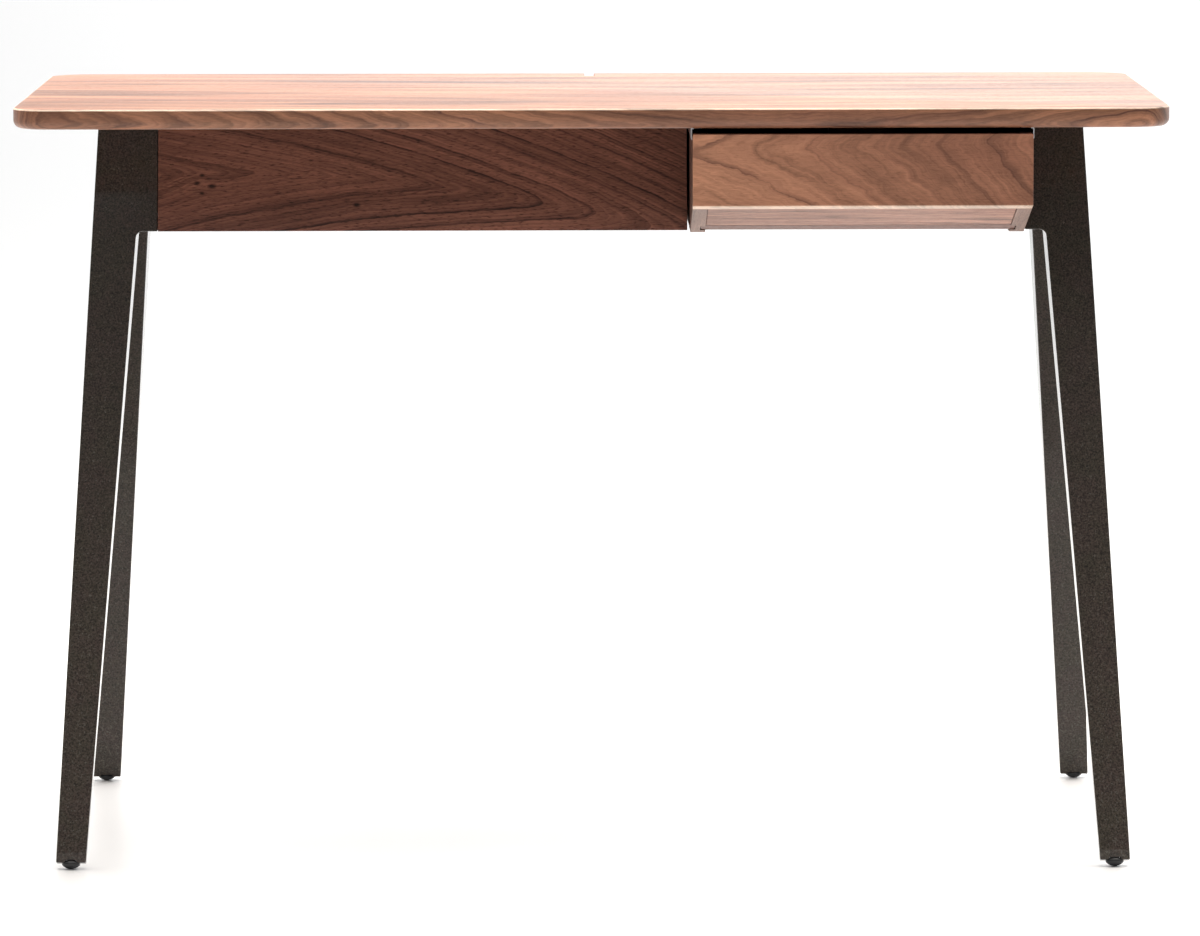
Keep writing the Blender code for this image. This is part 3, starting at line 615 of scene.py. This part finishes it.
# ---------------------------------------------------------------- steel and plastic
def build_runner(side, sx, material):
    """A folded channel with round bends, open towards the drawer.

    Its flange starts further back than its web.
    """
    low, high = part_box(side + "_runner")
    sheet, bend, lip, stub = 0.0012, 0.0020, 0.005, 0.0032
    cut_back, cut_run = 0.014, 0.004
    drop = high.z - low.z
    x0 = low.x if sx > 0 else high.x

    def line(inset, width):
        """The channel's outer skin, or its inner one, from flange to lip."""
        outer = bend - inset
        path = [(width, inset)]
        path += arc((bend, bend), outer, 270, 180, 6)
        path += arc((bend, drop - bend), outer, 180, 90, 6)
        path += [(lip, drop - inset)]
        return path

    def ring(y, width):
        section = line(0.0, width) + list(reversed(line(sheet, width)))
        return [(x0 + sx * u, y, high.z - v) for u, v in section]

    full = high.x - low.x
    rings = [ring(low.y, stub), ring(low.y + cut_back, stub),
             ring(low.y + cut_back + cut_run, full), ring(high.y, full)]
    finish_mesh(side + "_drawer_runner", skin(rings), material, "desk",
                [side + "_runner"], 40)


PAD_DOME = 0.004             # height of the domed sole
PAD_RIM = 0.0006             # upright edge of the pad
PAD_CROWN = 0.0056           # radius of the pad's flat upper face
PAD_STEPS, DOME_STEPS, PAD_SIDES = 8, 14, 48
TIP_RADIUS = 0.0002          # what is left of a turned shape's point
PAD_CLEAR = 0.000002         # the pads stop this far above the floor
STUD_RADIUS = 0.004
THREAD_PITCH = 0.00125
THREAD_DEPTH = 0.0006
THREAD_LEVELS, THREAD_SIDES = 5, 24
STUD_PLAIN = 0.001           # unthreaded length at each end
STUD_GAP = 0.0003            # between the stud and the pad


def build_glide(corner, plastic, zinc):
    """A domed nylon pad on its threaded stud, tilted with the leg."""
    body = corner + "_glide"
    middle, axis, inner, seat, tip = stud_line(corner)
    radius = span(corner, "pad", middle, axis)[2]
    dome = (radius ** 2 + PAD_DOME ** 2) / (2 * PAD_DOME)
    reach = math.asin(radius / dome)
    shoulder = tip - PAD_DOME - PAD_RIM - seat
    profile = [(TIP_RADIUS, seat), (PAD_CROWN, seat)]
    for step in range(1, PAD_STEPS + 1):
        angle = math.pi / 2 * step / PAD_STEPS
        profile.append((PAD_CROWN + (radius - PAD_CROWN) * math.sin(angle),
                        seat + shoulder * (1 - math.cos(angle))))
    for step in range(DOME_STEPS):
        angle = reach * (1 - (step + 0.2) / DOME_STEPS)
        profile.append((dome * math.sin(angle), tip - dome + dome * math.cos(angle)))
    profile.append((TIP_RADIUS, tip))
    bm = turned(profile, middle, axis, PAD_SIDES)
    lowest = min(vertex.co.z for vertex in bm.verts)
    bmesh.ops.translate(bm, vec=axis * (min(lowest - PAD_CLEAR, 0.0) / -axis.z), verts=bm.verts)
    finish_mesh(body + "_nylon_pad", bm, plastic, body,
                [corner + "_glide_pad"], 35)

    turn = Vector((0, 0, 1)).rotation_difference(axis).to_matrix()
    outer = seat - STUD_GAP
    levels = int((outer - inner) / THREAD_PITCH * THREAD_LEVELS)
    rings = []
    for level in range(levels + 1):
        along = inner + (outer - inner) * level / levels
        plain = along - inner < STUD_PLAIN or outer - along < STUD_PLAIN
        ring = []
        for index in range(THREAD_SIDES):
            share = index / THREAD_SIDES
            wave = 1.0 if plain else abs((along / THREAD_PITCH - share) % 1.0 - 0.5) * 2
            r = STUD_RADIUS - THREAD_DEPTH * wave
            angle = 2 * math.pi * share
            ring.append(middle + turn @ Vector((r * math.cos(angle), r * math.sin(angle), along)))
        rings.append(ring)
    finish_mesh(body + "_threaded_stud", skin(rings), zinc, body,
                [corner + "_glide_stud"], 60)


# ---------------------------------------------------------------- drawer front
DRAWER_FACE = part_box("drawer_front")[0].y
DRAWER_CHAMFER = 0.0015
DRAWER_EASE = 0.0006
HIGHLIGHT_HEM_HEIGHT = 0.0004          # of the painted highlight strip along the lower edge
SAME = 0.0001                # how near two corners are to count as level


def face_corners(corners):
    """Those of the drawer front's corners that lie in its outward face."""
    return [vertex for vertex in corners if vertex.co.y < DRAWER_FACE + SAME]


def build_drawer_front(material):
    """The face board, with a wide chamfer along its lower front edge."""
    bm = cad_shape("drawer_front")
    front = face_corners(bm.verts)
    level = min(vertex.co.z for vertex in front) + SAME
    lower = [edge for edge in bm.edges
             if all(vertex in front and vertex.co.z < level for vertex in edge.verts)]
    bmesh.ops.bevel(bm, geom=lower, offset=DRAWER_CHAMFER, segments=1, affect="EDGES")
    bevel_sharp(bm, DRAWER_EASE, 2)
    finish_mesh("drawer_face_board", bm, material, "drawer", ["drawer_front"])


# ---------------------------------------------------------------- screws
SCREW_RADIUS = 0.0018
SCREW_HEAD_RADIUS = 0.0035
SCREW_HEAD_HEIGHT = 0.0018
SCREW_LENGTH = 0.014
SCREW_CORE = 0.68            # the core's share of the thread's radius
SCREW_TURNS = 9
RECESS_LONG, RECESS_WIDE, RECESS_DEEP = 0.0017, 0.00035, 0.0011
RECESS_TAPER = 0.6


def screw_master():
    """One pan-head wood screw with a cross recess, head down, seat at z = 0."""
    head, height = SCREW_HEAD_RADIUS, SCREW_HEAD_HEIGHT
    core = SCREW_RADIUS * SCREW_CORE
    profile = [(0.0001, -height)]
    profile += [(head * share, -height * (1 - 0.45 * share ** 3)) for share in (0.3, 0.6, 0.8)]
    profile += [(head * 0.95, -height * 0.45), (head, -height * 0.25), (head, -0.0001),
                (SCREW_RADIUS, 0.0)]
    for step in range(SCREW_TURNS):
        z = 0.0035 + (SCREW_LENGTH - 0.006) * step / SCREW_TURNS
        profile += [(core, z), (SCREW_RADIUS, z + 0.0004)]
    profile += [(core, SCREW_LENGTH - 0.0025), (0.0001, SCREW_LENGTH)]
    bm = turned(profile, (0, 0, 0), (0, 0, 1), 20)
    mesh = bpy.data.meshes.new("screw_master")
    bm.to_mesh(mesh)
    bm.free()
    master = bpy.data.objects.new("screw_master", mesh)
    bpy.context.scene.collection.objects.link(master)
    for long, wide in ((RECESS_LONG, RECESS_WIDE), (RECESS_WIDE, RECESS_LONG)):
        recess = bmesh.new()
        bmesh.ops.create_cube(recess, size=2.0)
        bmesh.ops.scale(recess, vec=(long, wide, RECESS_DEEP), verts=recess.verts)
        for vertex in recess.verts:
            if vertex.co.z > 0:
                vertex.co.x *= RECESS_TAPER
                vertex.co.y *= RECESS_TAPER
        bmesh.ops.translate(recess, vec=(0, 0, -height), verts=recess.verts)
        take_away(master, recess)
    return master


def scatter_tree():
    """Geometry nodes that set a shape on every point, turned by the point's own angle."""
    tree = bpy.data.node_groups.new("set_on_points", "GeometryNodeTree")
    face = tree.interface
    face.new_socket("Geometry", in_out="INPUT", socket_type="NodeSocketGeometry")
    face.new_socket("Shape", in_out="INPUT", socket_type="NodeSocketObject")
    face.new_socket("Finish", in_out="INPUT", socket_type="NodeSocketMaterial")
    face.new_socket("Geometry", in_out="OUTPUT", socket_type="NodeSocketGeometry")
    add = tree.nodes.new
    entry, leave = add("NodeGroupInput"), add("NodeGroupOutput")
    info, spin = add("GeometryNodeObjectInfo"), add("ShaderNodeCombineXYZ")
    angle = add("GeometryNodeInputNamedAttribute")
    angle.data_type = "FLOAT"
    angle.inputs["Name"].default_value = "turn"
    place, real, paint = (add("GeometryNodeInstanceOnPoints"), add("GeometryNodeRealizeInstances"),
                          add("GeometryNodeSetMaterial"))
    link = tree.links.new
    link(entry.outputs["Geometry"], place.inputs["Points"])
    link(entry.outputs["Shape"], info.inputs["Object"])
    link(info.outputs["Geometry"], place.inputs["Instance"])
    link(angle.outputs["Attribute"], spin.inputs["Z"])
    link(spin.outputs["Vector"], place.inputs["Rotation"])
    link(place.outputs["Instances"], real.inputs["Geometry"])
    link(real.outputs["Geometry"], paint.inputs["Geometry"])
    link(entry.outputs["Finish"], paint.inputs["Material"])
    link(paint.outputs["Geometry"], leave.inputs["Geometry"])
    return tree


def build_screws(material):
    """Every wood screw under the top, set at its CAD place."""
    names = sorted(name for name in NODES if "_screw" in name)
    points = bpy.data.meshes.new("wood_screws")
    places = []
    for name in names:
        low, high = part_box(name)
        places.append(((low.x + high.x) / 2, (low.y + high.y) / 2, low.z + SCREW_HEAD_HEIGHT))
    points.from_pydata(places, [], [])
    turns = points.attributes.new("turn", "FLOAT", "POINT")
    for index, item in enumerate(turns.data):
        item.value = (index * 0.618 % 1.0) * math.pi
    master = screw_master()
    holder = bpy.data.objects.new("screw_points", points)
    bpy.context.scene.collection.objects.link(holder)
    tree = scatter_tree()
    modifier = holder.modifiers.new("set_screws", "NODES")
    modifier.node_group = tree
    for item in tree.interface.items_tree:
        if item.in_out == "INPUT" and item.name == "Shape":
            modifier[item.identifier] = master
        if item.in_out == "INPUT" and item.name == "Finish":
            modifier[item.identifier] = material
    bpy.context.view_layer.update()
    graph = bpy.context.evaluated_depsgraph_get()
    mesh = bpy.data.meshes.new_from_object(holder.evaluated_get(graph))
    mesh.name = "wood_screws"
    piece = bpy.data.objects.new("wood_screws", mesh)
    bpy.context.scene.collection.objects.link(piece)
    for spare in (holder, master):
        bpy.data.objects.remove(spare)
    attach(piece, "desk")
    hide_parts(*names)


# ---------------------------------------------------------------- the desk
APRON_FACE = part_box("front_apron")[0].y
# top of the painted highlight strip on the drawer front's lower edge
DRAWER_HIGHLIGHT_HEM = HIGHLIGHT_HEM_HEIGHT + min(
    vertex.co.z for vertex in face_corners(NODES["drawer_front"].data.vertices))
DARK_WALNUT = ((0.220, 0.088, 0.057), (0.155, 0.062, 0.041), (0.034, 0.014, 0.011))
LIGHT_WALNUT = ((0.27, 0.170, 0.135), (0.21, 0.130, 0.103), (0.11, 0.062, 0.048))

top_wood = walnut("oiled_walnut_top", (0.34, 0.154, 0.084), (0.235, 0.097, 0.056),
                  (0.070, 0.028, 0.020), heart=(-0.62, 0.52), spacing=0.006, taper=0.0,
                  bend=0.35, bend_x=0.19, wobble=0.012, line=0.22, depth=0.75,
                  joint=(-0.055, -0.42, -0.10), face=TOP_HIGH.z - ARRIS, pores=0.25, gloss=0.36,
                  fine=0.5, mottle=0.5, broad=0.6, shine=0.35)
front_apron_wood = walnut("dark_walnut_apron", (0.270, 0.112, 0.074), (0.190, 0.077, 0.052),
                          (0.032, 0.013, 0.010), heart=(APRON_FACE + 0.012, 0.677),
                          spacing=0.0125, taper=0.20, start=0.040, tilt=-0.03, bend=-0.28,
                          bend_x=-0.33, wobble=0.005, line=0.13, depth=0.85, pores=1.0,
                          gloss=0.50, fine=0.8, mottle=0.45, broad=0.35, shine=0.2,
                          knots=[(-0.400, 0.678, 0.0018, 0.010), (-0.395, 0.686, 0.0015, 0.0),
                                 (-0.385, 0.675, 0.0022, 0.0), (-0.395, 0.668, 0.0014, 0.0),
                                 (-0.238, 0.656, 0.0020, 0.003)])
back_apron_wood = walnut("dark_walnut_back", *DARK_WALNUT, heart=(0.045, 0.700), spacing=0.013,
                         taper=-0.09, tilt=0.04, wobble=0.010, line=0.13, depth=0.8, pores=0.8,
                         gloss=0.46, fine=0.5)
divider_wood = walnut("dark_walnut_divider", *DARK_WALNUT, heart=(0.06, 0.71), spacing=0.011,
                      taper=0.1, along="Y", line=0.14, pores=0.8, gloss=0.46, fine=0.5)
stop_wood = walnut("dark_walnut_stop", *DARK_WALNUT, heart=(0.03, 0.70), spacing=0.007)
# the drawer front's fade paints the fall of light from its left end to its right
front_wood = walnut("warm_walnut_front", (0.45, 0.210, 0.122), (0.250, 0.104, 0.062),
                    (0.050, 0.018, 0.015), heart=(DRAWER_FACE + 0.005, 0.7200), spacing=0.050,
                    taper=-0.04, curve=-1.3, start=0.061, tilt=0.02, wobble=0.010,
                    ragged=0.010, line=0.055, depth=1.0, fade=(0.10, 0.36), highlight_hem=DRAWER_HIGHLIGHT_HEM,
                    pores=0.30, gloss=0.44, fine=0.08, mottle=0.32, broad=0.42, shine=0.22)
# partly painted shade: the floor panel takes the dark walnut so that it stands in for the shade in
# the gap under the slope board
shade_dark_panel_wood = walnut("dark_walnut_panel_painted_shade", *DARK_WALNUT, heart=(-0.05, 0.50), spacing=0.010,
                    taper=0.03, gloss=0.5)
# the drawer sides' sideways faces get painted shade
side_wood = walnut("light_walnut_sides", *LIGHT_WALNUT, heart=(0.30, 0.66), taper=0.03,
                   along="Y", depth=0.5, pores=0.3, gloss=0.55, gap_shade=0.85)
slope_wood = walnut("light_walnut_slope", (0.41, 0.228, 0.172), (0.32, 0.165, 0.122),
                    (0.13, 0.062, 0.046), heart=(-0.22, 0.40), spacing=0.0045, taper=0.01,
                    depth=0.8, pores=0.3, gloss=0.55, mottle=0.6, shine=0.2)
back_wood = walnut("light_walnut_back", *LIGHT_WALNUT, heart=(0.10, 0.60), spacing=0.008,
                   taper=0.05, depth=0.5, pores=0.3, gloss=0.55)
iron = black_iron("textured_black_iron")
zinc = zinc_steel("zinc_plated_steel")
plastic = moulded_plastic("black_nylon")

build_top(top_wood)
for end in ("front", "back"):
    for side in ("left", "right"):
        build_leg(end, side, iron)
        build_glide("%s_%s" % (end, side), plastic, zinc)
for side, sx in (("left", 1), ("right", -1)):
    eased(side + "_mounting_plate", side + "_top_plate", iron, "desk", 0.0006)
    eased(side + "_bridge_bar", side + "_leg_bridge", iron, "desk", 0.0010)
    build_runner(side, sx, zinc)
eased("front_apron_board", "front_apron", front_apron_wood, "desk", 0.0007)
eased("back_apron_board", "back_apron", back_apron_wood, "desk", 0.0007)
eased("divider_board", "drawer_divider", divider_wood, "desk", 0.0006)
eased("stop_block", "drawer_stop", stop_wood, "desk", 0.0006)
build_drawer_front(front_wood)
eased("drawer_floor_panel", "drawer_bottom", shade_dark_panel_wood, "drawer", 0.0004)
eased("drawer_slope_panel", "drawer_sloped_board", slope_wood, "drawer", 0.0004)
eased("drawer_back_board", "drawer_back", back_wood, "drawer", 0.0006)
for side in ("left", "right"):
    eased("drawer_%s_board" % side, "drawer_%s_side" % side, side_wood, "drawer",
          0.0005)
for number in range(1, 7):
    eased("stepped_clip_%d" % number, "top_clip_%d" % number, zinc, "desk",
          0.00025)
build_screws(zinc)

# ---------------------------------------------------------------- floor, light and camera
FLOOR_REACH = 60
FRONT_SKY = 0.14             # brightness of the studio behind the camera
BACK_SKY = 1.7               # and of the white backdrop
SKY_TURN = (-0.35, 0.85)     # run over which the one gives way to the other, front to back
ZENITH_LIFT = 0.6            # how far looking up counts as looking back
LEFT_SKY, RIGHT_SKY = 0.56, 1.12   # a slant from left to right of the middle
SLANT_TURN = (-0.09, 0.02)
CAMERA_PLACE = (-0.0330, -7.1520, 1.2027)

scene = bpy.context.scene
floor_mesh = bpy.data.meshes.new("studio_floor")
floor_mesh.from_pydata([(-FLOOR_REACH, -FLOOR_REACH, 0), (FLOOR_REACH, -FLOOR_REACH, 0),
                        (FLOOR_REACH, FLOOR_REACH, 0), (-FLOOR_REACH, FLOOR_REACH, 0)], [],
                       [(0, 1, 2, 3)])
floor = bpy.data.objects.new("studio_floor", floor_mesh)
scene.collection.objects.link(floor)
floor_paint = Paint("pale_studio_floor")
floor_mesh.materials.append(floor_paint.finish(colour=(0.97, 0.97, 0.97, 1.0), roughness=0.35,
                                               gloss=0.3))

world = bpy.data.worlds.new("studio")
scene.world = world
world.use_nodes = True
sky = world.node_tree
sky_add, sky_link = sky.nodes.new, sky.links.new
facing = sky_add("ShaderNodeTexCoord")
split = sky_add("ShaderNodeSeparateXYZ")
bright = sky_add("ShaderNodeMapRange")
bright.interpolation_type = "SMOOTHSTEP"
for key, value in (("From Min", SKY_TURN[0]), ("From Max", SKY_TURN[1]),
                   ("To Min", FRONT_SKY), ("To Max", BACK_SKY)):
    bright.inputs[key].default_value = value
sky_link(facing.outputs["Generated"], split.inputs[0])
lifted = sky_add("ShaderNodeMath")
lifted.operation = "MULTIPLY_ADD"
lifted.inputs[1].default_value = ZENITH_LIFT
sky_link(split.outputs["Z"], lifted.inputs[0])
sky_link(split.outputs["Y"], lifted.inputs[2])
sky_link(lifted.outputs[0], bright.inputs["Value"])
slant = sky_add("ShaderNodeMapRange")
for key, value in (("From Min", SLANT_TURN[0]), ("From Max", SLANT_TURN[1]),
                   ("To Min", LEFT_SKY), ("To Max", RIGHT_SKY)):
    slant.inputs[key].default_value = value
sky_link(split.outputs["X"], slant.inputs["Value"])
blend = sky_add("ShaderNodeMath")
blend.operation = "MULTIPLY"
sky_link(bright.outputs["Result"], blend.inputs[0])
sky_link(slant.outputs["Result"], blend.inputs[1])
sky_link(blend.outputs[0], sky.nodes["Background"].inputs["Strength"])
sky.nodes["Background"].inputs["Color"].default_value = (1.0, 1.0, 1.0, 1.0)


def softbox(name, place, target, size, power, colour=(1.0, 1.0, 1.0)):
    """A square area lamp turned to face its target."""
    lamp = bpy.data.lights.new(name, "AREA")
    lamp.shape = "RECTANGLE"
    lamp.size, lamp.size_y = size
    lamp.energy = power
    lamp.color = colour
    item = bpy.data.objects.new(name, lamp)
    item.location = place
    item.rotation_euler = (Vector(target) - Vector(place)).to_track_quat("-Z", "Y").to_euler()
    scene.collection.objects.link(item)


softbox("overhead_softbox", (0.2, 0.4, 3.4), (0.0, 0.0, 0.7), (4.5, 3.5), 190, (1.0, 0.94, 0.86))
softbox("front_softbox", (-1.3, -3.0, 2.7), (0.0, 0.0, 0.6), (1.6, 1.2), 24)

camera_data = bpy.data.cameras.new("studio_camera")
camera_data.lens = 208.0
camera_data.sensor_width = 36.0
camera_data.sensor_fit = "HORIZONTAL"
camera_data.clip_end = FLOOR_REACH
camera = bpy.data.objects.new("studio_camera", camera_data)
pitch, yaw, roll = 0.1157, 0.0059, 0.0020
ahead = Vector((math.sin(yaw) * math.cos(pitch), math.cos(yaw) * math.cos(pitch),
                -math.sin(pitch)))
right = Vector((math.cos(yaw), -math.sin(yaw), 0.0))
down = ahead.cross(right)
across = right * math.cos(roll) + down * math.sin(roll)
below = down * math.cos(roll) - right * math.sin(roll)
turn = Matrix((across, -below, -ahead)).transposed().to_4x4()
camera.matrix_world = Matrix.Translation(CAMERA_PLACE) @ turn
scene.collection.objects.link(camera)
scene.camera = camera
scene.view_settings.view_transform = "Standard"
